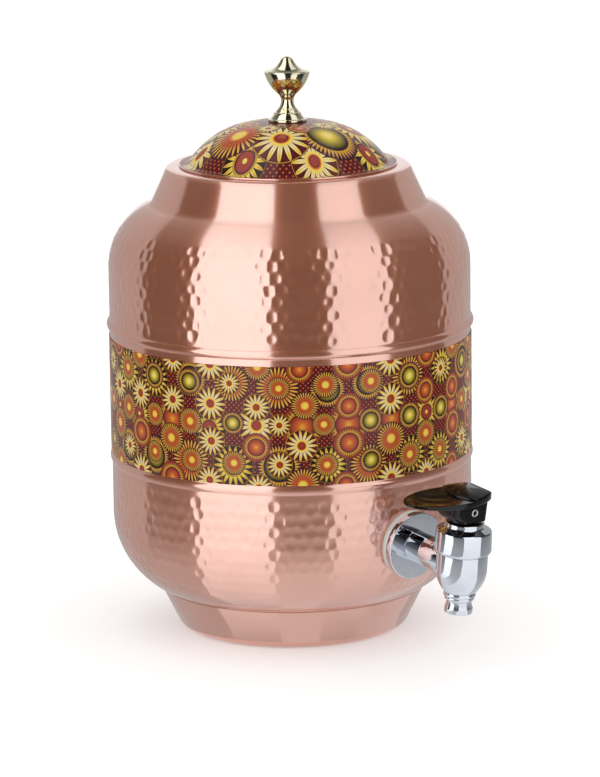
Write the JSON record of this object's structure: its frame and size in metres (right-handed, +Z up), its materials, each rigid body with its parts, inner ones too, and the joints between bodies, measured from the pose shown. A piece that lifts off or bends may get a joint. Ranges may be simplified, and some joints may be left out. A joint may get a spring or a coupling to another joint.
{
  "type": "water dispenser",
  "caption": "Copper water dispenser with a hammered vessel, printed band and lid, turned knob and a chrome tap with a black push lever",
  "frame": {"origin": "centre of the flat base, on the table", "axes": "+Z up along the vessel's axis, -Y towards the tap, +X to the right seen from the tap's side"},
  "size_m": [0.1916, 0.2477, 0.3001],
  "materials": {
    "copper": "lacquered pink copper, hammered on shoulder and bowl",
    "print_film": "printed rosettes under clear gloss",
    "print_sheet": "printed rosettes under clear gloss",
    "nickel_brass": "polished pale nickel brass",
    "steel": "plain steel",
    "silicone": "milky silicone",
    "black_rubber": "matt black",
    "chrome": "bright chrome plating",
    "nylon": "white moulded nylon",
    "brass": "turned brass",
    "black_gloss": "glossy black moulding"
  },
  "bodies": {
    "root": {"lower_shell": "copper", "upper_shell": "copper", "foot_cup": "copper", "print_band": "print_film", "outer_gasket": "silicone", "wall_flange": "chrome", "tap_body": "chrome", "inner_gasket": "silicone", "lock_nut": "nylon", "nozzle": "chrome", "nozzle_seal": "silicone", "bonnet": "chrome", "bonnet_seal": "silicone", "stem_seal": "black_rubber", "valve_spring": "steel"},
    "lid": {"lid_dome": "print_sheet", "lid_ring": "copper", "knob": "nickel_brass", "knob_screw": "steel", "knob_washer": "steel"},
    "valve": {"valve_plug": "silicone"},
    "stem": {"valve_stem": "brass", "lever_pin": "steel"},
    "lever": {"lever": "black_gloss"}
  },
  "joints": [
    {"name": "lid_lift", "type": "slide", "parent": "root", "child": "lid", "axis": [0, 0, 1], "range_m": [0, 0.06]},
    {"name": "valve_lift", "type": "slide", "parent": "root", "child": "valve", "axis": [0, -0.108, 0.9942], "range_m": [0, 0.00325], "deforming": ["valve_spring"]},
    {"name": "lever_swivel", "type": "hinge", "parent": "valve", "child": "stem", "pos_m": [0, -0.13386, 0.05459], "axis": [0, -0.108, 0.9942], "continuous": true},
    {"name": "lever_press", "type": "hinge", "parent": "stem", "child": "lever", "pos_m": [0, -0.13712, 0.08461], "axis": [-0.0349, -0.9935, -0.1079], "range_deg": [0, 20], "stiffness_Nm_per_rad": 0.1, "springref_deg": -22.92}
  ],
  "couplings": [
    {"joint": "lever_press", "follows": "valve_lift", "rad_per_m": 107.4}
  ]
}
